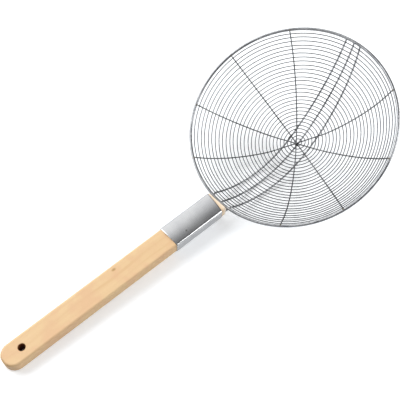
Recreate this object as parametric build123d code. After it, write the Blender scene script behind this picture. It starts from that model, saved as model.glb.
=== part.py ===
from build123d import *
from math import acos, asin, atan2, cos, degrees, hypot, radians, sin, sqrt
import os

# A spider skimmer, in millimetres: a shallow bowl of round wire on a flat wooden handle.
# Bowl axes, used until the last section: the rim lies in the plane z = 0 around the
# origin, the bowl hangs below it and the handle leaves towards -X, tilted upwards.
# The finished skimmer lies on a table, on the bowl's underside and the handle's butt.

# Rim and bowl
rim_outer_diameter = 220.0
rim_wire_diameter = 3.0
bowl_depth = 60.9  # rim's middle plane to the mesh at the bottom of the bowl
weld_gap = 0.05  # left between two wires that are welded together

# Mesh of closed rings, spaced along the bowl's arc
mesh_wire_diameter = 1.0
mesh_ring_count = 29
mesh_first_arc = 4.2  # from the bottom of the bowl to the smallest ring
mesh_edge_arc = 4.4  # from the largest ring to the rim's middle
mesh_spread_share = 0.093  # how much the spacing opens towards the rim

# Spokes: whole wires across the bowl that lie on the mesh and cross near the bottom
spoke_wire_diameter = 1.3
spoke_count = 4
spoke_first_deg = 39.4
spoke_step_deg = 35.85
spoke_end_shares = (0.028, 0.056, 0.064, 0.021)  # of the rim's radius, off the middle at the rim
spoke_low_shares = (0.016, 0.018, 0.025, 0.023)  # and at the bottom of the bowl
hub_lift = 0.3  # height of the lowest spoke over the bowl's curve at the crossing
hub_bend_radius = 40.0  # bend from the straight crossing into the bowl's curve

# Ribs: wires from inside the handle, under the rim and the mesh, to the far rim
rib_wire_diameter = 2.0
rib_names = ("left", "middle", "right")
rib_wood_pitch = 11.4  # between neighbours where they enter the wood
rib_wood_shares = (1.0, 0.0, -1.0)  # of that pitch
rib_near_shares = (0.122, -0.002, -0.110)  # of the rim's radius, where the bowl begins
rib_low_shares = (0.106, -0.003, -0.136)  # at the bottom of the bowl
rib_low_turns_deg = (5.3, 4.6, 4.7)  # there, against the bowl's axis, seen from above
rib_far_shares = (0.132, 0.046, -0.026)  # at the far rim
rib_bend_arc = 8.0  # bowl's arc that the bend under the rim takes
rib_end_gap = 0.2  # between a rib's far end and the rim
rib_hole_depth = 35.0
rib_hole_gap = 0.05
rib_hole_play = 0.5  # left behind a rib's end in its hole

# Wooden handle
wood_length = 255.2
wood_thickness = 12.6
wood_front_width = 26.1
wood_butt_width = 23.0
wood_butt_round = 10.8  # corners of the butt, seen from above
wood_edge_round = 2.3  # long edges
wood_standoff = 4.0  # from the rim's middle to the wood, along the handle
handle_pitch_deg = 30.1  # handle against the rim's plane
handle_shift = 0.4  # handle's middle to the side of the bowl's axis
rib_drop = 2.4  # ribs below the wood's middle

# Hanging hole
hang_hole_diameter = 6.6
hang_hole_to_tip = 19.1
hang_hole_ease = 0.5

# Sheet ferrule around the handle and its nail
ferrule_start = 3.8  # bare wood in front of the ferrule
ferrule_length = 63.6
ferrule_sheet = 0.6
ferrule_gap = 0.05
nail_back = 49.2  # from the wood's front end
nail_side = 6.3  # from the handle's middle
nail_head_diameter = 2.0
nail_head_height = 0.5
nail_shank_diameter = 1.2
nail_length = 8.0
nail_gap = 0.05

overrun = 1.0  # by which a cut passes the face that it opens

# Sizes that follow
rim_r = rim_wire_diameter / 2
mesh_r = mesh_wire_diameter / 2
spoke_r = spoke_wire_diameter / 2
rib_r = rib_wire_diameter / 2
rim_ring_r = rim_outer_diameter / 2 - rim_r

# The mesh lies on a sphere. The spokes lie inside it and touch the rim from within.
lap_depth = bowl_depth + rim_r - mesh_r
sphere_z = (rim_ring_r**2 - lap_depth**2) / (2 * lap_depth)
mesh_sphere = sphere_z + bowl_depth
spoke_sphere = mesh_sphere - mesh_r - weld_gap - spoke_r
rib_sphere = mesh_sphere + mesh_r + weld_gap + rib_r
rim_angle = atan2(rim_ring_r, sphere_z)

# Handle axes: x towards the bowl along the wood, y across, z out of its top face.
pitch = radians(handle_pitch_deg)
towards_bowl = Vector(cos(pitch), 0, -sin(pitch))
out_of_top = Vector(sin(pitch), 0, cos(pitch))
rib_pass = Vector(-rim_ring_r, 0, 0) - out_of_top * (rim_r + weld_gap + rib_r)
wood_end = rib_pass - towards_bowl * wood_standoff + out_of_top * rib_drop
wood_end = wood_end + Vector(0, handle_shift, 0)
handle_plane = Plane(origin=wood_end, x_dir=towards_bowl, z_dir=out_of_top)


def wire_along(edges, radius):
    """A round wire of this radius along edges that run on from each other."""
    path = Wire(edges)
    section = Plane(origin=path @ 0, z_dir=path % 0) * Circle(radius)
    return sweep(section, path=path)


def mesh_ring(index):
    """A closed ring of the mesh on the bowl's sphere, counted from the bottom."""
    share = index / (mesh_ring_count - 1)
    last_arc = mesh_sphere * rim_angle - mesh_edge_arc
    spread = share * (1 - mesh_spread_share + mesh_spread_share * share)
    angle = (mesh_first_arc + (last_arc - mesh_first_arc) * spread) / mesh_sphere
    height = sphere_z - mesh_sphere * cos(angle)
    return Pos(0, 0, height) * Torus(mesh_sphere * sin(angle), mesh_r)


def spoke(index):
    """A wire across the bowl, straight over the wires below it where they all cross."""
    direction = radians(spoke_first_deg + index * spoke_step_deg)
    along = Vector(cos(direction), sin(direction), 0)
    across = Vector(-sin(direction), cos(direction), 0)
    up = Vector(0, 0, 1)

    # A plane that leans a little cuts the spokes' sphere in the wire's circle.
    end_side = rim_ring_r * spoke_end_shares[index]
    low_side = rim_ring_r * spoke_low_shares[index]
    low_height = spoke_sphere * cos(rim_angle)
    lean = atan2(low_side - end_side, spoke_sphere - low_height)
    normal = across * cos(lean) + up * sin(lean)
    offset = low_side * cos(lean) - spoke_sphere * sin(lean)
    reach = sqrt(spoke_sphere**2 - offset**2)
    hub_depth = spoke_sphere - hub_lift - index * (spoke_wire_diameter + weld_gap)
    level = (hub_depth + offset * sin(lean)) / cos(lean)
    bend_level = level - hub_bend_radius
    bend_reach = reach - hub_bend_radius
    flat = sqrt(bend_reach**2 - bend_level**2)
    bend_end = degrees(atan2(flat, bend_level))
    arc_end = degrees(acos((low_height + offset * sin(lean)) / (reach * cos(lean))))
    down = -90
    middle = up * sphere_z + normal * offset
    cut = Plane(origin=middle, x_dir=along, z_dir=-normal)
    edges = [
        CenterArc((0, 0), reach, down - arc_end, arc_end - bend_end),
        CenterArc((-flat, -bend_level), hub_bend_radius, down - bend_end, bend_end),
        Line((-flat, -level), (flat, -level)),
        CenterArc((flat, -bend_level), hub_bend_radius, down, bend_end),
        CenterArc((0, 0), reach, down + bend_end, arc_end - bend_end),
    ]
    return wire_along([cut * edge for edge in edges], spoke_r)


def on_rib_sphere(angle, side, sign):
    """The point of the ribs' sphere at this angle from the bottom, this far to the side."""
    out = rib_sphere * sin(angle)
    return Vector(sign * sqrt(out**2 - side**2), side, sphere_z - rib_sphere * cos(angle))


def rib(index):
    """A wire from its hole in the wood, under the rim, around the bowl to the far rim."""
    enter_side = handle_shift + rib_wood_pitch * rib_wood_shares[index]
    near = on_rib_sphere(rim_angle - rib_bend_arc / rib_sphere, rim_ring_r * rib_near_shares[index], -1)
    far_angle = rim_angle - asin((rim_r + rib_end_gap) / rib_sphere)
    far = on_rib_sphere(far_angle, rim_ring_r * rib_far_shares[index], 1)

    # Two arcs of the bowl's sphere meet at its bottom, where they share one direction.
    lean = asin(rim_ring_r * rib_low_shares[index] / rib_sphere)
    low_turn = radians(rib_low_turns_deg[index])
    low = Vector(0, rib_sphere * sin(lean), sphere_z - rib_sphere * cos(lean))
    low_way = Vector(cos(low_turn), sin(low_turn) * cos(lean), sin(low_turn) * sin(lean))
    back_run = TangentArc(low, near, tangent=-low_way)
    near_run = ThreePointArc(near, back_run @ 0.5, low)
    far_run = TangentArc(low, far, tangent=low_way)
    under_rim = rib_pass + Vector(0, enter_side, 0)
    inner = under_rim - towards_bowl * (wood_standoff + rib_hole_depth - rib_hole_play)

    # Two equal-tangent arcs join the straight run to the bowl run.
    gap = near - under_rim
    turn = towards_bowl + near_run % 0
    square = 4 - turn.dot(turn)
    leg = (sqrt(gap.dot(turn) ** 2 + square * gap.dot(gap)) - gap.dot(turn)) / square
    first_corner = under_rim + towards_bowl * leg
    second_corner = near - (near_run % 0) * leg
    middle = (first_corner + second_corner) / 2
    first_bend = TangentArc(under_rim, middle, tangent=towards_bowl)
    second_bend = TangentArc(middle, near, tangent=second_corner - first_corner)
    path = [Line(inner, under_rim), first_bend, second_bend, near_run, far_run]
    return wire_along(path, rib_r)


def wood_width(back):
    """The wood's width this far behind its front end."""
    return wood_front_width + (wood_butt_width - wood_front_width) * back / wood_length


def wooden_handle():
    """The flat tapered bar with its rounded butt, rib holes, nail hole and hanging hole."""
    outline = Polyline(
        (0, wood_front_width / 2),
        (-wood_length, wood_butt_width / 2),
        (-wood_length, -wood_butt_width / 2),
        (0, -wood_front_width / 2),
        close=True,
    )
    plan = make_face(outline)
    plan = fillet(plan.vertices().sort_by(Axis.X)[:2], wood_butt_round)
    bar = extrude(plan, wood_thickness / 2, both=True)
    faces = bar.faces().sort_by(Axis.Z)
    edges = faces[0].edges().sort_by(Axis.X)[:-1] + faces[-1].edges().sort_by(Axis.X)[:-1]
    bar = fillet(edges, wood_edge_round)
    hang_place = Pos(hang_hole_to_tip - wood_length, 0, 0)
    bar -= hang_place * Cylinder(hang_hole_diameter / 2, wood_thickness + 2 * overrun)
    hang_rims = bar.edges().filter_by(
        lambda edge: edge.geom_type == GeomType.CIRCLE and edge.radius == hang_hole_diameter / 2
    )
    bar = chamfer(hang_rims, hang_hole_ease)
    depth = rib_hole_depth + overrun
    for share in rib_wood_shares:
        hole = Rot(0, 90, 0) * Cylinder(rib_r + rib_hole_gap, depth)
        bar -= Pos(overrun - depth / 2, rib_wood_pitch * share, -rib_drop) * hole
    return bar - nail_place() * nail_hole()


def ferrule_block(back, length, grow):
    """The wood's tapered section grown on all sides, from one place to another along it."""
    sections = []
    for place in (back, back + length):
        size = RectangleRounded(
            wood_width(place) + 2 * grow,
            wood_thickness + 2 * grow,
            wood_edge_round + grow,
        )
        sections.append(Plane.YZ.offset(-place) * size)
    return loft(sections)


def ferrule():
    """The sheet sleeve, with the hole for its nail."""
    outside = ferrule_block(ferrule_start, ferrule_length, ferrule_gap + ferrule_sheet)
    inside = ferrule_block(ferrule_start - overrun, ferrule_length + 2 * overrun, ferrule_gap)
    return outside - inside - nail_place() * nail_hole()


def nail_place():
    """The nail's axis on top of the ferrule."""
    top = wood_thickness / 2 + ferrule_gap + ferrule_sheet
    return Pos(-nail_back, -nail_side, top)


def nail_hole():
    """The hole for the nail's shank, open at the top."""
    depth = nail_length + nail_gap + overrun
    return Pos(0, 0, overrun - depth / 2) * Cylinder(nail_shank_diameter / 2 + nail_gap, depth)


def ferrule_nail():
    """A small nail with a flat head that seats on the ferrule."""
    head = Pos(0, 0, nail_gap + nail_head_height / 2) * Cylinder(nail_head_diameter / 2, nail_head_height)
    shank = Pos(0, 0, nail_gap - nail_length / 2) * Cylinder(nail_shank_diameter / 2, nail_length)
    return nail_place() * (head + shank)


# All pieces in bowl axes
pieces = {
    "wooden_handle": handle_plane * wooden_handle(),
    "ferrule": handle_plane * ferrule(),
    "ferrule_nail": handle_plane * ferrule_nail(),
    "rim": Torus(rim_ring_r, rim_r),
}
for index, name in enumerate(rib_names):
    pieces["rib_" + name] = rib(index)
for index in range(spoke_count):
    pieces["spoke_%d" % (index + 1)] = spoke(index)
for index in range(mesh_ring_count):
    pieces["mesh_ring_%02d" % (index + 1)] = mesh_ring(index)

# Resting tilt: the table touches the ribs' sphere and the butt's lower rounded edge.
butt_edge = handle_plane.from_local_coords(
    Vector(wood_edge_round - wood_length, 0, wood_edge_round - wood_thickness / 2)
)
rise = sphere_z - butt_edge.Z
under_bowl = rib_sphere + rib_r
tilt = atan2(-butt_edge.X, rise) - acos((under_bowl - wood_edge_round) / hypot(butt_edge.X, rise))
laid = {name: Rot(0, -degrees(tilt), 0) * shape for name, shape in pieces.items()}

# The origin is the middle of the footprint's bounding box, on the table.
box = Compound(list(laid.values())).bounding_box()
middle = box.center()
place = Pos(-middle.X, -middle.Y, -box.min.Z)

os.makedirs("parts", exist_ok=True)
for name, shape in laid.items():
    export_step(place * shape, "parts/" + name + ".step")
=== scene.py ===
import math

import bpy
import numpy as np
from mathutils import Matrix, Vector


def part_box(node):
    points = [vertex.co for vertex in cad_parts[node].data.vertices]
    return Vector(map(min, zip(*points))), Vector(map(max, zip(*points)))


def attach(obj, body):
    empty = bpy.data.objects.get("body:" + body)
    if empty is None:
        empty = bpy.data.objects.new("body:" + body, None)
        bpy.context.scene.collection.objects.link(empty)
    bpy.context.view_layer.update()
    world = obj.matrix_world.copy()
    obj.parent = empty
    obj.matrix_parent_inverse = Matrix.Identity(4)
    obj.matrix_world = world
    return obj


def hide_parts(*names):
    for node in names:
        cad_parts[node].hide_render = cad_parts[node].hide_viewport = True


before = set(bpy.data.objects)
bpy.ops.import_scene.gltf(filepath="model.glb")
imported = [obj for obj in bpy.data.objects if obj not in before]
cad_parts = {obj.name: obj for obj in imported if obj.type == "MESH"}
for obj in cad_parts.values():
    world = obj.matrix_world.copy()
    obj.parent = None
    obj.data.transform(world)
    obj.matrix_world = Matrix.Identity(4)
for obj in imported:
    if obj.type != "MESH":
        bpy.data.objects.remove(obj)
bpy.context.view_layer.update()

# Looks of a spider skimmer: a bowl of welded wire on a wooden handle.
# Sizes are in millimetres in the dictionaries and in metres on the meshes.
mm = 0.001

bowl = dict(
    rimOuter=220.0, rimWire=3.0, meshWire=1.0, spokeWire=1.3, ribWire=2.0,
    depth=60.9,  # from the middle of the rim's wire down to the mesh at the bottom
    weldGap=0.05,  # between two wires that are welded together
    ringCount=29,
    firstArc=4.2, edgeArc=4.4,  # along the bowl: bottom to smallest ring, largest ring to rim
    spread=0.093,  # how much the steps between rings open towards the rim
)
handle = dict(
    length=255.2, thickness=12.6, frontWidth=26.1, buttWidth=23.0, edgeRound=2.3,
    pitch=30.1,  # degrees between the handle and the rim's plane
    standoff=4.0,  # from the wood's front end to where the ribs pass under the rim
    ribDrop=2.4, shift=0.4,  # ribs below the wood's middle, and the handle aside from the bowl's
    holeToTip=19.1, holeWidth=6.6,
)
holeX = handle["holeToTip"] - handle["length"]  # the hanging hole, from the wood's front end

# The bowl's sphere, as the wires share it: spokes inside the mesh, ribs outside.
rimRadius = bowl["rimOuter"] / 2 - bowl["rimWire"] / 2
lapDepth = bowl["depth"] + bowl["rimWire"] / 2 - bowl["meshWire"] / 2
sphereHeight = (rimRadius**2 - lapDepth**2) / (2 * lapDepth)
meshSphere = sphereHeight + bowl["depth"]
spokeSphere = meshSphere - bowl["meshWire"] / 2 - bowl["weldGap"] - bowl["spokeWire"] / 2
ribSphere = meshSphere + bowl["meshWire"] / 2 + bowl["weldGap"] + bowl["ribWire"] / 2
rimAngle = math.atan2(rimRadius, sphereHeight)
sphereMiddle = np.array([0.0, 0.0, sphereHeight])

# Directions in bowl axes: along the handle towards the bowl, and out of its top face.
pitch = math.radians(handle["pitch"])
towardsBowl = np.array([math.cos(pitch), 0.0, -math.sin(pitch)])
outOfTop = np.array([math.sin(pitch), 0.0, math.cos(pitch)])
ribPass = np.array([-rimRadius, 0.0, 0.0]) - outOfTop * (
    bowl["rimWire"] / 2 + bowl["weldGap"] + bowl["ribWire"] / 2
)
woodEnd = ribPass - towardsBowl * handle["standoff"] + outOfTop * handle["ribDrop"]
woodEnd = woodEnd + np.array([0.0, handle["shift"], 0.0])

# The tilt at which the bowl's underside and the butt's lower edge both touch the table.
buttEdge = woodEnd + towardsBowl * (handle["edgeRound"] - handle["length"])
buttEdge = buttEdge + outOfTop * (handle["edgeRound"] - handle["thickness"] / 2)
rise = sphereHeight - buttEdge[2]
underBowl = ribSphere + bowl["ribWire"] / 2
tilt = math.atan2(-buttEdge[0], rise) - math.acos(
    (underBowl - handle["edgeRound"]) / math.hypot(buttEdge[0], rise)
)
rimLow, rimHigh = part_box("rim")
rimMiddle = (np.array(rimLow) + np.array(rimHigh)) / 2


# Directions in bowl axes to the model's axes: a turn about Y by the tilt.
def turned(points):
    x, y, z = np.asarray(points, float).reshape(-1, 3).T
    cosine, sine = math.cos(tilt), math.sin(tilt)
    return np.stack([x * cosine - z * sine, y, x * sine + z * cosine], 1)


# Bowl axes in millimetres to the model's axes in metres: the turn, then a move to the rim's middle.
def toTable(points):
    return turned(points) * mm + rimMiddle


# A point in the handle's axes to bowl axes: x towards the bowl, y across, z out of the top face.
def fromHandle(points):
    points = np.asarray(points, float)
    across = np.array([0.0, 1.0, 0.0])
    return woodEnd + points[..., :1] * towardsBowl + points[..., 1:2] * across + points[..., 2:3] * outOfTop


# sRGB hex to linear: each channel c is c/12.92 below 0.04045, else ((c+0.055)/1.055)^2.4.
def hexColour(text):
    parts = [int(text[i:i + 2], 16) / 255 for i in (1, 3, 5)]
    return tuple(c / 12.92 if c <= 0.04045 else ((c + 0.055) / 1.055) ** 2.4 for c in parts) + (1.0,)


# Adds one node: settings go to its attributes, values and links to its sockets by name or number,
# and stops, pairs of a place and a hex colour, to a colour ramp. A Mix node has its share on
# socket 0, numbers on 2 and 3 and colours on 6 and 7, and gives a colour on output 2.
def addNode(tree, kind, settings=None, values=None, links=None, stops=()):
    node = tree.nodes.new(kind)
    for key, value in (settings or {}).items():
        setattr(node, key, value)
    for key, value in (values or {}).items():
        node.inputs[key].default_value = value
    for key, socket in (links or {}).items():
        tree.links.new(socket, node.inputs[key])
    for stop in stops[2:]:
        node.color_ramp.elements.new(stop[0])
    for index, (place, colour) in enumerate(stops):
        node.color_ramp.elements[index].position = place
        node.color_ramp.elements[index].color = hexColour(colour)
    return node


# A Map Range node: a value between two limits becomes one between two results.
def addRange(tree, value, limits, results, easing="LINEAR"):
    return addNode(tree, "ShaderNodeMapRange", {"interpolation_type": easing},
                   {1: limits[0], 2: limits[1], 3: results[0], 4: results[1]}, {0: value})


# A noise texture at the place that a socket gives.
def addNoise(tree, place, scale, detail):
    return addNode(tree, "ShaderNodeTexNoise", values={"Scale": scale, "Detail": detail}, links={0: place})


# An empty node material, and its tree.
def newMaterial(name):
    material = bpy.data.materials.new(name)
    material.use_nodes = True
    material.node_tree.nodes.clear()
    return material, material.node_tree


# What both kinds of steel share: fine lines and broad patches are mixed, the colour and the
# roughness follow the mix, and a slight relief follows the lines.
def finishSteel(tree, look, lines, patches, lightest, darkest):
    both = addNode(tree, "ShaderNodeMix", {"data_type": "FLOAT"}, {0: look["patchShare"]},
                   {2: lines.outputs[0], 3: patches.outputs[0]})
    colour = addNode(tree, "ShaderNodeValToRGB", links={0: both.outputs[0]},
                     stops=list(zip(look["toneAt"], (darkest, lightest))))
    rough = addRange(tree, both.outputs[0], look["roughAt"], look["rough"])
    bump = addNode(tree, "ShaderNodeBump", links={"Height": lines.outputs[0]},
                   values={"Strength": look["bump"], "Distance": look["bumpDepth"] * mm})
    shader = addNode(tree, "ShaderNodeBsdfPrincipled", values={"Metallic": 1.0},
                     links={"Base Color": colour.outputs[0], "Roughness": rough.outputs[0],
                            "Normal": bump.outputs[0]})
    addNode(tree, "ShaderNodeOutputMaterial", links={0: shader.outputs[0]})


wire = dict(
    # the thin wires' tones are darker than the rim's and ribs' steel: painted shade that greys the bowl's
    # mesh as a whole
    light="#707173", dark="#484A4D",  # thin wires
    rimLight="#A6A7A9", rimDark="#74767A",
    ribLight="#B8B9BB", ribDark="#85878A",
    weldLight="#8A857C", weldDark="#5F5B56",
    lineWidth=0.25,  # mm between the draw lines around the wire, coarser than real ones so they show
    lineLength=20.0, lineDetail=3.0,
    patch=9.0, patchDetail=4.0, patchShare=0.5,  # duller patches, their size in mm
    toneAt=(0.35, 0.62), roughAt=(0.3, 0.7),  # values of the mix, for dark and light, smooth and rough
    rough=(0.2, 0.36), bump=0.12, bumpDepth=0.05,
)


# Drawn stainless wire, grade 304: a grey metal with fine lines along its length from the die,
# and duller patches where it was handled. The UV map runs along and around the wire in
# millimetres. A weld has no such map, so it shows the patches alone.
def drawnWire(name, lightest, darkest):
    material, tree = newMaterial(name)
    uv = addNode(tree, "ShaderNodeUVMap", {"uv_map": "along"})
    stretched = addNode(tree, "ShaderNodeMapping", links={0: uv.outputs[0]},
                        values={"Scale": (1 / wire["lineLength"], 1 / wire["lineWidth"], 1.0)})
    lines = addNoise(tree, stretched.outputs[0], 1.0, wire["lineDetail"])
    place = addNode(tree, "ShaderNodeTexCoord")
    patches = addNoise(tree, place.outputs["Object"], 1 / (wire["patch"] * mm), wire["patchDetail"])
    finishSteel(tree, wire, lines, patches, lightest, darkest)
    return material


# The socket of a Mapping node that turns the model's metres into the handle's own millimetres:
# x towards the bowl along the wood, y across it, z out of its top face, from the wood's front end.
def handlePlace(tree):
    place = addNode(tree, "ShaderNodeTexCoord")
    origin = tuple(toTable(woodEnd)[0])
    inHandle = addNode(tree, "ShaderNodeMapping", {"vector_type": "TEXTURE"},
                       {"Location": origin, "Rotation": (0.0, pitch - tilt, 0.0), "Scale": (mm, mm, mm)},
                       {0: place.outputs["Object"]})
    return inHandle.outputs[0]


sheet = dict(
    light="#BEBFC0", dark="#B0B1B3", nailLight="#8F8F8E", nailDark="#6C6C6B",
    lineWidth=0.18,  # mm between brush lines, drawn coarser than real ones
    lineLength=50.0, lineDetail=3.0,
    patch=16.0, patchDetail=3.0, patchShare=0.6,  # faint smudges, their size in mm
    toneAt=(0.35, 0.65), roughAt=(0.3, 0.7), rough=(0.18, 0.25), bump=0.02, bumpDepth=0.05,
)


# Cold-rolled stainless sheet with a satin finish: faint brush lines along the handle
# and soft smudges in the sheen.
def satinSheet(name, lightest, darkest):
    material, tree = newMaterial(name)
    inHandle = handlePlace(tree)
    narrow = 1 / sheet["lineWidth"]
    stretched = addNode(tree, "ShaderNodeMapping", links={0: inHandle},
                        values={"Scale": (1 / sheet["lineLength"], narrow, narrow)})
    lines = addNoise(tree, stretched.outputs[0], 1.0, sheet["lineDetail"])
    smudges = addNoise(tree, inHandle, 1 / sheet["patch"], sheet["patchDetail"])
    finishSteel(tree, sheet, lines, smudges, lightest, darkest)
    return material


wood = dict(
    pale="#ECCB9C", mid="#E7C495", dark="#E0B987", toneAt=(0.25, 0.45, 0.75),
    bandWidth=5.5, bandsAlong=0.006,  # growth bands: mm across the grain, and how many per mm along it
    bandThrough=0.7, bandDetail=5.0, bandRoughness=0.55,  # bands are wider through the thickness
    wanderLength=50.0, wander=4.0, softDetail=2.0,  # mm, the slow bends of the bands
    fleck="#C79D6C", fleckAt=(0.62, 0.8), fleckShare=(0.0, 0.4),
    fleckWidth=0.35, flecksAlong=0.28,  # ray flecks: mm across, per mm along; wider than real ones
    warm="#E4B98F", warmAt=(0.45, 0.65), warmShare=(0.0, 0.7), patch=18.0,  # mm, warmer patches
    knot="#B5894A", knotPlace=(-130.3, 7.1, 6.3), knotSize=1.9,  # mm, in the handle's axes
    knotCore=0.3, knotShare=(0.75, 0.0),  # the knot's even middle as a share of its size
    knotShape=(0.6, 1.0, 0.3),  # how fast the knot fades along, across and into the wood
    # painted light on the wood's front end: its colour, its reach back from the end, and its share
    paintedLightEnd="#FBEEDC", paintedLightReach=6.0, paintedLightShare=(0.0, 0.85),  # mm back from the front end
    endGrain="#B8905E", endAt=(0.2, 0.9), endShare=(0.0, 0.8),
    # painted shade on the hanging hole's wall: its colour, its reach past the wall, and its share
    paintedHoleShade="#7E4A22", paintedShadePast=(0.05, 0.2), paintedShadeShare=(1.0, 0.0),  # mm past the hole's wall
    roughAt=(0.3, 0.8), rough=(0.5, 0.62), bump=0.25, bumpDepth=0.1, fleckBump=0.5,
)


# Steamed beech, planed and sanded: pale growth bands along the bar, short dark flecks of the rays,
# warmer patches and one small knot. Bare wood, so the sheen is weak and even.
def sandedBeech(name):
    material, tree = newMaterial(name)
    inHandle = handlePlace(tree)
    wander = addNoise(tree, inHandle, 1 / wood["wanderLength"], wood["softDetail"])
    bent = addNode(tree, "ShaderNodeVectorMath", {"operation": "MULTIPLY_ADD"},
                   {1: (0.0, wood["wander"], wood["wander"])}, {0: wander.outputs["Color"], 2: inHandle})
    bandScale = (wood["bandsAlong"], 1 / wood["bandWidth"], wood["bandThrough"] / wood["bandWidth"])
    bandPlace = addNode(tree, "ShaderNodeMapping", values={"Scale": bandScale}, links={0: bent.outputs[0]})
    bands = addNoise(tree, bandPlace.outputs[0], 1.0, wood["bandDetail"])
    bands.inputs["Roughness"].default_value = wood["bandRoughness"]
    tone = addNode(tree, "ShaderNodeValToRGB", links={0: bands.outputs[0]},
                   stops=list(zip(wood["toneAt"], (wood["dark"], wood["mid"], wood["pale"]))))
    fleckScale = (wood["flecksAlong"], 1 / wood["fleckWidth"], 1 / wood["fleckWidth"])
    fleckPlace = addNode(tree, "ShaderNodeMapping", values={"Scale": fleckScale}, links={0: inHandle})
    flecks = addNoise(tree, fleckPlace.outputs[0], 1.0, wood["softDetail"])
    fleckShare = addRange(tree, flecks.outputs[0], wood["fleckAt"], wood["fleckShare"])
    patches = addNoise(tree, inHandle, 1 / wood["patch"], wood["softDetail"])
    warmShare = addRange(tree, patches.outputs[0], wood["warmAt"], wood["warmShare"])
    # The knot: how near a point lies to the knot's middle, counting less along and into the wood.
    fromKnot = addNode(tree, "ShaderNodeVectorMath", {"operation": "SUBTRACT"}, {1: wood["knotPlace"]},
                       {0: inHandle})
    knotNarrow = addNode(tree, "ShaderNodeVectorMath", {"operation": "MULTIPLY"}, {1: wood["knotShape"]},
                         {0: fromKnot.outputs[0]})
    knotFar = addNode(tree, "ShaderNodeVectorMath", {"operation": "LENGTH"},
                      links={0: knotNarrow.outputs[0]})
    knotAt = (wood["knotCore"] * wood["knotSize"], wood["knotSize"])
    knotShare = addRange(tree, knotFar.outputs["Value"], knotAt, wood["knotShare"], "SMOOTHSTEP")
    # Painted light: the wood's front end in front of the ferrule is painted paler, standing in for light
    # falling there.
    handleParts = addNode(tree, "ShaderNodeSeparateXYZ", links={0: inHandle})
    paintedLightShare = addRange(tree, handleParts.outputs["X"], (-wood["paintedLightReach"], 0.0), wood["paintedLightShare"])
    # End grain drinks in more light: where the surface faces back along the handle it is darker.
    facing = addNode(tree, "ShaderNodeNewGeometry")
    backFace = addNode(tree, "ShaderNodeVectorMath", {"operation": "DOT_PRODUCT"},
                       {1: tuple(-turned(towardsBowl)[0])}, {0: facing.outputs["Normal"]})
    endShare = addRange(tree, backFace.outputs["Value"], wood["endAt"], wood["endShare"])
    # Painted shade on the hanging hole's wall: dark brown up to just past the hole's radius from its axis.
    fromHole = addNode(tree, "ShaderNodeVectorMath", {"operation": "SUBTRACT"}, {1: (holeX, 0.0, 0.0)},
                       {0: inHandle})
    flattened = addNode(tree, "ShaderNodeVectorMath", {"operation": "MULTIPLY"}, {1: (1.0, 1.0, 0.0)},
                        {0: fromHole.outputs[0]})
    holeFar = addNode(tree, "ShaderNodeVectorMath", {"operation": "LENGTH"},
                      links={0: flattened.outputs[0]})
    paintedShadeAt = [handle["holeWidth"] / 2 + past for past in wood["paintedShadePast"]]
    paintedShadeShare = addRange(tree, holeFar.outputs["Value"], paintedShadeAt, wood["paintedShadeShare"])
    # Each tone is laid over the ones before it by its own share.
    colour = tone.outputs[0]
    for share, over in ((warmShare, "warm"), (fleckShare, "fleck"), (knotShare, "knot"),
                        (paintedLightShare, "paintedLightEnd"), (endShare, "endGrain"), (paintedShadeShare, "paintedHoleShade")):
        mixed = addNode(tree, "ShaderNodeMix", {"data_type": "RGBA"}, {7: hexColour(wood[over])},
                        {0: share.outputs[0], 6: colour})
        colour = mixed.outputs[2]
    rough = addRange(tree, bands.outputs[0], wood["roughAt"], wood["rough"])
    relief = addNode(tree, "ShaderNodeMix", {"data_type": "FLOAT"}, {0: wood["fleckBump"]},
                     {2: bands.outputs[0], 3: flecks.outputs[0]})
    bump = addNode(tree, "ShaderNodeBump", links={"Height": relief.outputs[0]},
                   values={"Strength": wood["bump"], "Distance": wood["bumpDepth"] * mm})
    shader = addNode(tree, "ShaderNodeBsdfPrincipled",
                     links={"Base Color": colour, "Roughness": rough.outputs[0], "Normal": bump.outputs[0]})
    addNode(tree, "ShaderNodeOutputMaterial", links={0: shader.outputs[0]})
    return material


rimWireSteel = drawnWire("drawn stainless rim wire", wire["rimLight"], wire["rimDark"])
ribWireSteel = drawnWire("drawn stainless rib wire", wire["ribLight"], wire["ribDark"])
spokeWireSteel = drawnWire("drawn stainless spoke wire", wire["light"], wire["dark"])
meshWireSteel = drawnWire("drawn stainless mesh wire", wire["light"], wire["dark"])
weldSteel = drawnWire("heat-tinted weld", wire["weldLight"], wire["weldDark"])
ferruleSteel = satinSheet("satin stainless sheet", sheet["light"], sheet["dark"])
nailSteel = satinSheet("dull steel nail", sheet["nailLight"], sheet["nailDark"])
beech = sandedBeech("sanded beech")
print("stage 1: materials made, tilt %.2f degrees" % math.degrees(tilt))


# A smooth object from points in bowl axes and faces. Its mesh holds its place in the model.
def newPiece(name, points, faces):
    mesh = bpy.data.meshes.new(name)
    mesh.from_pydata(toTable(points).tolist(), [], faces)
    mesh.polygons.foreach_set("use_smooth", np.ones(len(faces), bool))
    mesh.update()
    piece = bpy.data.objects.new(name, mesh)
    bpy.context.scene.collection.objects.link(piece)
    return piece


# A finished piece: its material, the CAD node that it stands for, which is hidden, and its body.
def finishPiece(piece, node, material):
    piece.data.materials.append(material)
    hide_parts(node)
    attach(piece, "root")


# The quads of a grid of points kept row by row: point (row, column) is number
# row * columns + column. The columns close round, and the rows too where asked.
def gridQuads(rows, columns, closed):
    row, column = np.meshgrid(np.arange(rows if closed else rows - 1), np.arange(columns), indexing="ij")
    after, beside = (row + 1) % rows, (column + 1) % columns
    corners = [row * columns + column, row * columns + beside,
               after * columns + beside, after * columns + column]
    return np.stack(corners, -1).reshape(-1, 4)


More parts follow.
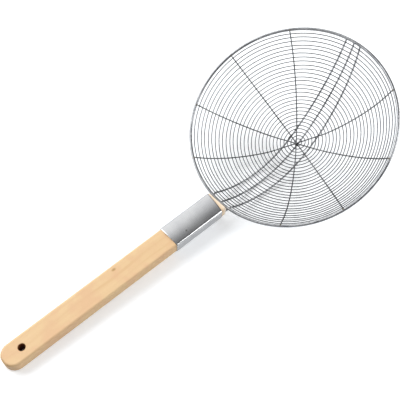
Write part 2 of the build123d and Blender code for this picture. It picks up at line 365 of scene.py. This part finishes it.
# The surface of a round wire: at each point of the path a circle of radius r,
# path + r * (cos a * out + sin a * side), where out points away from the bowl's sphere,
# made square to the path, and side completes it. The UV map is (length, arc) in millimetres.
def wireSurface(name, path, radius, closed, sides):
    count = len(path)
    radii = np.broadcast_to(radius, (count,))
    along = np.roll(path, -1, 0) - np.roll(path, 1, 0) if closed else np.gradient(path, axis=0)
    along /= np.linalg.norm(along, axis=1)[:, None]
    out = path - sphereMiddle
    out -= (out * along).sum(1)[:, None] * along
    out /= np.linalg.norm(out, axis=1)[:, None]
    side = np.cross(along, out)
    turn = np.arange(sides + 1) * 2 * np.pi / sides
    cosine, sine = np.cos(turn[:-1])[:, None], np.sin(turn[:-1])[:, None]
    points = path[:, None] + radii[:, None, None] * (cosine * out[:, None] + sine * side[:, None])
    faces = gridQuads(count, sides, closed).tolist()
    if not closed:
        ends = np.arange(count * sides).reshape(count, sides)[[0, -1]]
        faces += [ends[0, ::-1].tolist(), ends[1].tolist()]
    piece = newPiece(name, points, faces)
    steps = np.linalg.norm(np.diff(path, axis=0, append=path[:1]), axis=1)
    length = np.concatenate([[0], np.cumsum(steps)])[:count + 1 if closed else count]
    flat = np.stack(np.meshgrid(length, turn * radii.max(), indexing="ij"), -1)
    quads = np.stack([flat[:-1, :-1], flat[:-1, 1:], flat[1:, 1:], flat[1:, :-1]], 2)
    uv = piece.data.uv_layers.new(name="along")
    places = np.zeros(len(uv.data) * 2)
    places[:quads.size] = quads.ravel()
    uv.data.foreach_set("uv", places)
    return piece


endLook = dict(
    pointsAt=(0.04, 0.15, 0.35, 0.65),  # extra points near each end, as shares of the wire's radius
    least=0.1,  # of the radius, at the very end
)


# An open wire with rounded ends: it has more points there, and over its first and its last
# stretch the radius follows a quarter circle, radius * sqrt(1 - (1 - share)^2).
def openWire(name, path, radius, look):
    first, last = path[0], path[-1]
    reaches = np.array(endLook["pointsAt"])[:, None] * radius
    headWay = (path[1] - first) / np.linalg.norm(path[1] - first)
    tailWay = (path[-2] - last) / np.linalg.norm(path[-2] - last)
    path = np.concatenate([first[None], first + headWay * reaches, path[1:-1],
                           (last + tailWay * reaches)[::-1], last[None]])
    steps = np.concatenate([[0], np.cumsum(np.linalg.norm(np.diff(path, axis=0), axis=1))])
    share = np.clip(np.minimum(steps, steps[-1] - steps) / (look["endStretch"] * radius), 0.0, 1.0)
    radii = radius * np.sqrt(np.maximum(1 - (1 - share) ** 2, endLook["least"] ** 2))
    return wireSurface(name, path, radii, False, look["sides"])


# Points of a circle's arc in the plane of two square directions, from one angle to another.
def arcPoints(middle, radius, first, second, start, end, count):
    angles = np.linspace(start, end, count)
    return middle + radius * (np.cos(angles)[:, None] * first + np.sin(angles)[:, None] * second)


rimLook = dict(
    points=420, sides=20, wobble=0.15,  # mm
    inWaves=3, inPhase=0.8, downWaves=2, downPhase=2.0,
)

# Rim: a circle that wanders inwards and downwards by up to the wobble, as a bent ring does:
# its radius and its height each lose wobble * (1 - sine) / 2 as the angle goes round.
rimTurn = np.arange(rimLook["points"]) * 2 * np.pi / rimLook["points"]
rimInwards = rimLook["wobble"] * (1 - np.sin(rimLook["inWaves"] * rimTurn + rimLook["inPhase"])) / 2
rimDownwards = rimLook["wobble"] * (1 - np.sin(rimLook["downWaves"] * rimTurn + rimLook["downPhase"])) / 2
rimPath = np.stack([
    (rimRadius - rimInwards) * np.cos(rimTurn),
    (rimRadius - rimInwards) * np.sin(rimTurn),
    -rimDownwards,
], 1)
finishPiece(wireSurface("rimWire", rimPath, bowl["rimWire"] / 2, True, rimLook["sides"]),
            "rim", rimWireSteel)

meshLook = dict(
    points=216, sides=10, wobble=0.22,  # mm, of the slow wave
    slowWaves=2, slowPhase=2.4, quickWaves=5, quickPhase=1.1, quickShare=0.6,
    calmRings=6,  # the smallest rings wander less
)


# Arc from the bottom of the bowl to a ring: even steps that open a little towards the rim.
def ringArc(index):
    share = index / (bowl["ringCount"] - 1)
    lastArc = meshSphere * rimAngle - bowl["edgeArc"]
    opened = share * (1 - bowl["spread"] + bowl["spread"] * share)
    return bowl["firstArc"] + (lastArc - bowl["firstArc"]) * opened


# Mesh rings: each lies on the bowl's sphere at its own arc, and wanders along that arc
# by a slow and a quick wave whose phases change from ring to ring.
ringTurn = np.arange(meshLook["points"]) * 2 * np.pi / meshLook["points"]
for index in range(bowl["ringCount"]):
    slow = np.sin(meshLook["slowWaves"] * ringTurn + meshLook["slowPhase"] * index)
    quick = np.sin(meshLook["quickWaves"] * ringTurn + meshLook["quickPhase"] * index**2)
    wave = (slow + meshLook["quickShare"] * quick) * min(1.0, index / meshLook["calmRings"])
    polar = (ringArc(index) + meshLook["wobble"] * wave) / meshSphere
    ringPath = np.stack([
        meshSphere * np.sin(polar) * np.cos(ringTurn),
        meshSphere * np.sin(polar) * np.sin(ringTurn),
        sphereHeight - meshSphere * np.cos(polar),
    ], 1)
    ring = wireSurface("meshRing_%02d" % (index + 1), ringPath, bowl["meshWire"] / 2, True,
                       meshLook["sides"])
    finishPiece(ring, "mesh_ring_%02d" % (index + 1), meshWireSteel)

spokeLook = dict(
    sides=12, straightPoints=12, bendPoints=10, outerPoints=60,
    endStretch=1.0,  # of the wire's radius, rounded at each end
    firstDeg=39.4, stepDeg=35.85, count=4,
    hubLift=0.3, hubBend=40.0,  # mm: the lowest spoke's lift off its sphere, and the bends' radius
    ends=(0.028, 0.056, 0.064, 0.021),  # of the rim's radius, off the middle at the rim
    lows=(0.016, 0.018, 0.025, 0.023),  # the same near the bottom of the bowl
)


# A spoke: a plane that leans a little cuts the spokes' sphere in a circle. In that plane lie a
# straight piece over the wires below it, two bends, and the circle out to the rim on both sides.
def spokePath(index):
    direction = math.radians(spokeLook["firstDeg"] + index * spokeLook["stepDeg"])
    along = np.array([math.cos(direction), math.sin(direction), 0.0])
    across = np.array([-math.sin(direction), math.cos(direction), 0.0])
    up = np.array([0.0, 0.0, 1.0])
    endSide = rimRadius * spokeLook["ends"][index]
    lowSide = rimRadius * spokeLook["lows"][index]
    lowHeight = spokeSphere * math.cos(rimAngle)
    lean = math.atan2(lowSide - endSide, spokeSphere - lowHeight)
    normal = across * math.cos(lean) + up * math.sin(lean)
    upward = up * math.cos(lean) - across * math.sin(lean)
    offset = lowSide * math.cos(lean) - spokeSphere * math.sin(lean)
    reach = math.sqrt(spokeSphere**2 - offset**2)
    hubDepth = spokeSphere - spokeLook["hubLift"] - index * (bowl["spokeWire"] + bowl["weldGap"])
    level = (hubDepth + offset * math.sin(lean)) / math.cos(lean)
    bend = spokeLook["hubBend"]
    flat = math.sqrt((reach - bend) ** 2 - (level - bend) ** 2)
    bendEnd = math.atan2(flat, level - bend)
    arcEnd = math.acos((lowHeight + offset * math.sin(lean)) / (reach * math.cos(lean)))
    start = sphereMiddle + normal * offset
    down = -math.pi / 2
    outer = arcPoints(start, reach, along, upward, down + bendEnd, down + arcEnd, spokeLook["outerPoints"])
    bendMiddle = start + along * flat - upward * (level - bend)
    inner = arcPoints(bendMiddle, bend, along, upward, down, down + bendEnd, spokeLook["bendPoints"])
    shares = np.linspace(0, 1, spokeLook["straightPoints"])[:, None]
    straight = start - upward * level + along * (flat * shares)
    half = np.concatenate([straight, inner[1:], outer[1:]])
    mirrored = half - 2 * ((half - start) @ along)[:, None] * along
    return np.concatenate([mirrored[::-1], half[1:]])


spokePaths = [spokePath(index) for index in range(spokeLook["count"])]
for number, path in enumerate(spokePaths, 1):
    spoke = openWire("spokeWire_%d" % number, path, bowl["spokeWire"] / 2, spokeLook)
    finishPiece(spoke, "spoke_%d" % number, spokeWireSteel)

ribLook = dict(
    sides=14, straightPoints=16, bendPoints=12, runPoints=80, endStretch=0.5,
    names=("left", "middle", "right"), wood=(1.0, 0.0, -1.0), woodPitch=11.4,  # mm between holes
    near=(0.122, -0.002, -0.110),  # of the rim's radius aside, where the bowl begins
    low=(0.106, -0.003, -0.136), lowTurnDeg=(5.3, 4.6, 4.7),  # at the bottom, and the way there
    far=(0.132, 0.046, -0.026),  # at the far rim
    bendArc=8.0, endGap=0.2,  # mm: rim to the end of the bends along the bowl, rim's wire to the far end
    holeDepth=35.0, play=0.5,  # mm, the holes in the wood and the room behind the ribs
)


# The point of the ribs' sphere at a polar angle from the bottom and a distance to the side.
def onRibSphere(angle, side, sign):
    out = ribSphere * math.sin(angle)
    return np.array([sign * math.sqrt(out**2 - side**2), side, sphereHeight - ribSphere * math.cos(angle)])


# The arc that leaves one point in a given direction and ends at another: its middle lies square
# to that direction, at r = d.d / (2 d.side) for the step d to the other point.
def tangentArc(start, end, way, count):
    step = end - start
    normal = np.cross(way, step)
    normal /= np.linalg.norm(normal)
    side = np.cross(normal, way)
    radius = (step @ step) / (2 * (step @ side))
    middle = start + side * radius
    sweepEnd = math.atan2((end - middle) @ way, -(end - middle) @ side) % (2 * math.pi)
    return arcPoints(middle, radius, -side, way, 0.0, sweepEnd, count)


# A rib: straight from its hole in the wood, two equal-tangent bends under the rim, and two arcs
# that meet near the bottom of the ribs' sphere in one shared tangent.
def ribPath(index):
    enterSide = handle["shift"] + ribLook["woodPitch"] * ribLook["wood"][index]
    near = onRibSphere(rimAngle - ribLook["bendArc"] / ribSphere, rimRadius * ribLook["near"][index], -1)
    far = onRibSphere(rimAngle - math.asin((bowl["rimWire"] / 2 + ribLook["endGap"]) / ribSphere),
                      rimRadius * ribLook["far"][index], 1)
    lean = math.asin(rimRadius * ribLook["low"][index] / ribSphere)
    turn = math.radians(ribLook["lowTurnDeg"][index])
    low = np.array([0.0, ribSphere * math.sin(lean), sphereHeight - ribSphere * math.cos(lean)])
    way = np.array([math.cos(turn), math.sin(turn) * math.cos(lean), math.sin(turn) * math.sin(lean)])
    nearRun = tangentArc(low, near, -way, ribLook["runPoints"])[::-1]
    farRun = tangentArc(low, far, way, ribLook["runPoints"])
    arrive = nearRun[1] - nearRun[0]
    arrive /= np.linalg.norm(arrive)
    underRim = ribPass + np.array([0.0, enterSide, 0.0])
    inner = underRim - towardsBowl * (handle["standoff"] + ribLook["holeDepth"] - ribLook["play"])
    gap = near - underRim
    both = towardsBowl + arrive
    square = 4 - both @ both
    leg = (math.sqrt((gap @ both) ** 2 + square * (gap @ gap)) - gap @ both) / square
    cornerOne = underRim + towardsBowl * leg
    cornerTwo = near - arrive * leg
    join = (cornerOne + cornerTwo) / 2
    # Each bend is a quadratic curve through its tangent corner, which for so small a turn
    # keeps within a hundredth of a millimetre of the circle.
    t = np.linspace(0, 1, ribLook["bendPoints"])[:, None]
    bendOne = (1 - t) ** 2 * underRim + 2 * t * (1 - t) * cornerOne + t**2 * join
    bendTwo = (1 - t) ** 2 * join + 2 * t * (1 - t) * cornerTwo + t**2 * near
    straight = inner + (underRim - inner) * np.linspace(0, 1, ribLook["straightPoints"])[:, None]
    return np.concatenate([straight, bendOne[1:], bendTwo[1:], nearRun[1:], farRun[1:]])


ribPaths = [ribPath(index) for index in range(len(ribLook["names"]))]
for side, path in zip(ribLook["names"], ribPaths):
    rib = openWire("ribWire_" + side, path, bowl["ribWire"] / 2, ribLook)
    finishPiece(rib, "rib_" + side, ribWireSteel)
print("stage 2: wires made")

weldLook = dict(
    around=10, across=6,  # points round a spot, and steps from its top to its bottom
    spokeWidth=1.05, ribWidth=1.4, meshHeight=0.7, rimWidth=2.6, rimHeight=2.2,
    touch=0.25,  # of the mesh wire: a wire no further off its own sphere is welded to the rings
    aside=(0.3, 0.9, 0.1),  # a direction that no spot faces
)


# Weld spots as flattened balls: for every place a unit ball's points, stretched by the width along
# two directions square to `out` and by the height along `out`, in one whole-array product.
def weldSpots(name, places, outs, width, height, material):
    around, rows = weldLook["around"], weldLook["across"] - 1
    down, turn = np.meshgrid(np.linspace(0, np.pi, rows + 2)[1:-1],
                             np.arange(around) * 2 * np.pi / around, indexing="ij")
    ball = np.stack([np.sin(down) * np.cos(turn), np.sin(down) * np.sin(turn), np.cos(down)], -1)
    ball = np.concatenate([ball.reshape(-1, 3), [[0, 0, 1.0], [0, 0, -1.0]]])
    first = np.cross(outs, weldLook["aside"])
    first /= np.linalg.norm(first, axis=1)[:, None]
    frames = np.stack([first * width, np.cross(outs, first) * width, outs * height], 1) / 2
    points = places[:, None] + np.einsum("pk,nkc->npc", ball, frames)
    here = np.arange(around)
    beside = (here + 1) % around
    top, bottom, lastRow = rows * around, rows * around + 1, (rows - 1) * around
    caps = np.concatenate([
        np.stack([np.full(around, top), here, beside], 1),
        np.stack([np.full(around, bottom), lastRow + beside, lastRow + here], 1),
    ])
    quads = gridQuads(rows, around, False)[:, [0, 3, 2, 1]]
    faces = []
    for start in range(0, len(places) * len(ball), len(ball)):
        faces += (start + quads).tolist() + (start + caps).tolist()
    piece = newPiece(name, points, faces)
    piece.data.materials.append(material)
    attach(piece, "root")


# Where a wire crosses the mesh rings: on each side of its lowest point the polar angle on the bowl's
# sphere grows steadily, so the crossing with a ring is found by interpolation at the ring's angle.
# A crossing counts only where the wire is close to its own sphere.
def crossings(path, sphere, contact):
    away = path - sphereMiddle
    distance = np.linalg.norm(away, axis=1)
    polar = np.arccos(-away[:, 2] / distance)
    lowest = int(polar.argmin())
    rings = np.array([ringArc(index) for index in range(bowl["ringCount"])]) / meshSphere
    found = []
    for half in (slice(lowest, None), slice(lowest, None, -1)):
        angle, points, far = polar[half], away[half], distance[half]
        growing = np.concatenate([[True], np.diff(np.maximum.accumulate(angle)) > 0])
        angle, points, far = angle[growing], points[growing], far[growing]
        inside = rings[(rings > angle[0]) & (rings < angle[-1])]
        place = np.stack([np.interp(inside, angle, points[:, axis]) for axis in range(3)], 1)
        touching = abs(np.interp(inside, angle, far) - sphere) < weldLook["touch"] * bowl["meshWire"]
        found.append(place[touching])
    found = np.concatenate(found)
    outs = found / np.linalg.norm(found, axis=1)[:, None]
    return sphereMiddle + outs * contact, outs


spokeWelds = [crossings(path, spokeSphere, meshSphere - bowl["meshWire"] / 2) for path in spokePaths]
beforeBowl = ribLook["straightPoints"] + 2 * ribLook["bendPoints"]  # a rib's points to just past its bends
ribWelds = [crossings(path[beforeBowl:], ribSphere, meshSphere + bowl["meshWire"] / 2) for path in ribPaths]
for name, welds, width, steel, slot in (
        ("spokeWelds", spokeWelds, weldLook["spokeWidth"], spokeWireSteel, "spoke wire"),
        ("ribWelds", ribWelds, weldLook["ribWidth"], ribWireSteel, "rib wire")):
    places, outs = [np.concatenate(parts) for parts in zip(*welds)]
    weldSpots(name, places, outs, width, weldLook["meshHeight"], steel)

# Welds at the rim: where each rib passes under it, and at the ends of ribs and spokes. Each lies
# between the wire's nearest point and the rim circle's nearest point.
rimTouches = []
for path in ribPaths:
    underRim = path[:len(path) // 2]
    fromRim = np.hypot(np.hypot(underRim[:, 0], underRim[:, 1]) - rimRadius, underRim[:, 2])
    rimTouches += [underRim[fromRim.argmin()], path[-1]]
for path in spokePaths:
    rimTouches += [path[0], path[-1]]
rimTouches = np.array(rimTouches)
onRim = rimTouches * [1.0, 1.0, 0.0]
onRim *= rimRadius / np.linalg.norm(onRim, axis=1)[:, None]
rimOuts = rimTouches - onRim
rimOuts /= np.linalg.norm(rimOuts, axis=1)[:, None]
weldSpots("rimWelds", (rimTouches + onRim) / 2, rimOuts, weldLook["rimWidth"], weldLook["rimHeight"],
          weldSteel)
print("stage 3: welds made")

ferruleLook = dict(
    gap=0.05, thick=0.6, foldRound=2.2, lip=0.18,  # mm, like the lengths below
    crown=0.9, crownRise=0.45,  # how much lower the folds are than the middle, and its rise
    farBack=3.5, nearBack=67.4, farSkew=1.9,  # its two ends behind the wood's end, and the cut's skew
    stations=60, cornerSteps=9, flatSteps=22, sideSteps=6,
)


# Closed outlines of the sleeve, one row for each half width a, half depth b and corner radius r:
# a rounded rectangle (y, z) from one end of its top flat right round, with z multiplied by
# 1 + (rise - crown * (y / a)^2) / b so that its broad faces bulge a little.
def sleeveOutlines(a, b, r):
    look = ferruleLook
    quarter = np.linspace(0, np.pi / 2, look["cornerSteps"])
    across = np.linspace(-1, 1, look["flatSteps"])
    down = np.linspace(1, -1, look["sideSteps"])[1:-1]
    sine, cosine = np.sin(quarter), np.cos(quarter)
    flat, side = np.ones(len(across)), np.ones(len(down))
    y = np.concatenate([
        across * (a - r), a - r + r * sine[1:], a * side, a - r + r * cosine,
        across[::-1][1:] * (a - r), r - a - r * sine[1:], -a * side, r - a - r * cosine[:-1],
    ], 1)
    z = np.concatenate([
        b * flat, b - r + r * cosine[1:], down * (b - r), r - b - r * sine,
        -b * flat[1:], r - b - r * cosine[1:], down[::-1] * (b - r), b - r + r * sine[:-1],
    ], 1)
    return y, z * (1 + (look["crownRise"] - look["crown"] * (y / a) ** 2) / b)


# Ferrule: outer skin, a small rounded lip, the inner skin and the lip at the other end, joined
# into one closed tube of sheet around the tapered wood. Its far end is cut a little askew.
# Each row has its share of the length, how far it shrinks into the sheet, and how far a lip pulls
# it back from the end.
def sleeve(name):
    look = ferruleLook
    count, lip = look["stations"], look["lip"]
    share = np.linspace(0, 1, count)
    where = np.concatenate([[0.0], share, [1.0], share[::-1]])[:, None]
    shrink = np.concatenate([[lip], np.zeros(count), [lip], np.full(count, look["thick"])])[:, None]
    end = np.concatenate([[0.0, lip], np.zeros(count - 2), [-lip, 0.0], np.zeros(count)])[:, None]
    back = look["farBack"] + where * (look["nearBack"] - look["farBack"])
    taper = (handle["buttWidth"] - handle["frontWidth"]) / handle["length"]
    halfWidth = (handle["frontWidth"] + taper * back) / 2
    grow = look["gap"] + look["thick"] - shrink
    y, z = sleeveOutlines(halfWidth + grow, handle["thickness"] / 2 + grow, look["foldRound"] - shrink)
    skew = look["farSkew"] * (y / halfWidth) * (1 - where)
    points = fromHandle(np.stack([-(back - skew + end), y, z], -1))
    return newPiece(name, points, gridQuads(*points.shape[:2], True).tolist())


finishPiece(sleeve("ferruleSleeve"), "ferrule", ferruleSteel)
print("stage 4: ferrule made")

# The wood and the nail keep the CAD's own meshes.
for node, material in (("wooden_handle", beech), ("ferrule_nail", nailSteel)):
    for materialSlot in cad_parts[node].material_slots:
        materialSlot.material = material

studio = dict(
    cameraFromRim=(-91.03, -215.72, 550.82),  # mm from the rim's middle, in bowl axes like the next three
    view=(-0.0503, 0.3910, -0.9190), right=(0.6576, -0.6796, -0.3251), down=(-0.7517, -0.6207, -0.2230),
    focalPixels=560.9, picture=400.0, sensor=36.0, clipStart=0.01,
    floorColour="#EFF2F5", floorHalf=4.0, floorRough=0.9,
    floorShare=0.36,  # light of the floor's own near the object
    sweepNear=0.5, sweepFar=1.2,  # metres out, where its own light starts to grow and is full
    sky=(0.24, 1.65),  # the room's light away from its soft glow and inside it
    skyWay=(0.2, 0.75, 0.62), skyEdge=(0.77, 0.98),  # towards the glow, and the cosines of its edge
    # each lamp's name, metres from the rim's middle, size in metres, and watts
    lamps=(
        ("keyLamp", (-0.8, 1.25, 1.15), (1.3, 1.3), 26.0),
        ("fillLamp", (0.8, -1.05, 0.95), (0.9, 0.9), 13.0),
    ),
)

edge = studio["floorHalf"]
floorMesh = bpy.data.meshes.new("floor")
floorMesh.from_pydata([(-edge, -edge, 0), (edge, -edge, 0), (edge, edge, 0), (-edge, edge, 0)],
                      [], [(0, 1, 2, 3)])
floor = bpy.data.objects.new("floor", floorMesh)
bpy.context.scene.collection.objects.link(floor)
# White card: plain diffuse white, with a share of light of its own for the camera and for what
# the metal mirrors, so that it shows white and the soft shadow stays on it.
card, cardTree = newMaterial("white card")
cardRay = addNode(cardTree, "ShaderNodeLightPath")
seenOrMirrored = addNode(cardTree, "ShaderNodeMath", {"operation": "MAXIMUM"},
                         links={0: cardRay.outputs["Is Camera Ray"], 1: cardRay.outputs["Is Glossy Ray"]})
glow = addNode(cardTree, "ShaderNodeMath", {"operation": "MULTIPLY"}, {1: studio["floorShare"]},
               {0: seenOrMirrored.outputs[0]})
# Further out it gives more of its own light, as a lit sweep does, so the distance stays white.
cardPlace = addNode(cardTree, "ShaderNodeTexCoord")
away = addNode(cardTree, "ShaderNodeVectorMath", {"operation": "LENGTH"},
               links={0: cardPlace.outputs["Object"]})
sweepAt = (studio["sweepNear"], studio["sweepFar"])
sweepShare = addRange(cardTree, away.outputs["Value"], sweepAt, (0.0, 1.0), "SMOOTHSTEP")
sweep = addNode(cardTree, "ShaderNodeMath", {"operation": "MULTIPLY"},
                links={0: sweepShare.outputs[0], 1: seenOrMirrored.outputs[0]})
# Painted shadow: under the hanging hole the card gives none of its own light, so it is only as light as
# what reaches it.
holeFoot = toTable(fromHandle([holeX, 0.0, -handle["thickness"] / 2]))[0] * [1.0, 1.0, 0.0]
fromFoot = addNode(cardTree, "ShaderNodeVectorMath", {"operation": "DISTANCE"}, {1: tuple(holeFoot)},
                   {0: cardPlace.outputs["Object"]})
outside = addNode(cardTree, "ShaderNodeMath", {"operation": "GREATER_THAN"},
                  {1: handle["holeWidth"] * mm}, {0: fromFoot.outputs["Value"]})
strength = addNode(cardTree, "ShaderNodeMath", {"operation": "MULTIPLY_ADD"},
                   links={0: glow.outputs[0], 1: outside.outputs[0], 2: sweep.outputs[0]})
cardShader = addNode(cardTree, "ShaderNodeBsdfPrincipled", links={"Emission Strength": strength.outputs[0]},
                     values={"Base Color": hexColour(studio["floorColour"]), "Emission Color": (1, 1, 1, 1),
                             "Roughness": studio["floorRough"], "Specular IOR Level": 0.0})
addNode(cardTree, "ShaderNodeOutputMaterial", links={0: cardShader.outputs[0]})
floorMesh.materials.append(card)

view, right, down = [Vector(turned(studio[key])[0]).normalized() for key in ("view", "right", "down")]
camera = bpy.data.objects.new("camera", bpy.data.cameras.new("camera"))
bpy.context.scene.collection.objects.link(camera)
cameraPlace = Vector(toTable(studio["cameraFromRim"])[0])
camera.matrix_world = Matrix.Translation(cameraPlace) @ Matrix((right, -down, -view)).transposed().to_4x4()
camera.data.sensor_width = studio["sensor"]
camera.data.lens = studio["focalPixels"] / studio["picture"] * studio["sensor"]
camera.data.clip_start = studio["clipStart"]
bpy.context.scene.camera = camera

# Area lamps, each placed from the rim's middle along the model's axes and facing it.
for name, fromMiddle, size, power in studio["lamps"]:
    lamp = bpy.data.lights.new(name, "AREA")
    lamp.shape = "RECTANGLE"
    lamp.size, lamp.size_y = size
    lamp.energy = power
    holder = bpy.data.objects.new(name, lamp)
    bpy.context.scene.collection.objects.link(holder)
    holder.location = Vector(rimMiddle) + Vector(fromMiddle)
    holder.rotation_euler = (-Vector(fromMiddle)).to_track_quat("-Z", "Y").to_euler()

# The room is dim but for one wide soft glow: the sky's light rises with the cosine between
# a direction and the glow's middle. The camera itself sees plain white.
world = bpy.data.worlds.new("studio")
bpy.context.scene.world = world
world.use_nodes = True
world.node_tree.nodes.clear()
skyTree = world.node_tree
skyPlace = addNode(skyTree, "ShaderNodeTexCoord")
towardsGlow = addNode(skyTree, "ShaderNodeVectorMath", {"operation": "DOT_PRODUCT"},
                      {1: tuple(Vector(studio["skyWay"]).normalized())}, {0: skyPlace.outputs["Generated"]})
sky = addRange(skyTree, towardsGlow.outputs["Value"], studio["skyEdge"], studio["sky"], "SMOOTHSTEP")
skyRay = addNode(skyTree, "ShaderNodeLightPath")
shown = addNode(skyTree, "ShaderNodeMix", {"data_type": "FLOAT"}, {3: 1.0},
                {0: skyRay.outputs["Is Camera Ray"], 2: sky.outputs[0]})
background = addNode(skyTree, "ShaderNodeBackground", values={0: (1, 1, 1, 1)}, links={1: shown.outputs[0]})
addNode(skyTree, "ShaderNodeOutputWorld", links={0: background.outputs[0]})

bpy.context.scene.view_settings.view_transform = "Standard"
print("stage 5: floor, lamps and camera ready")
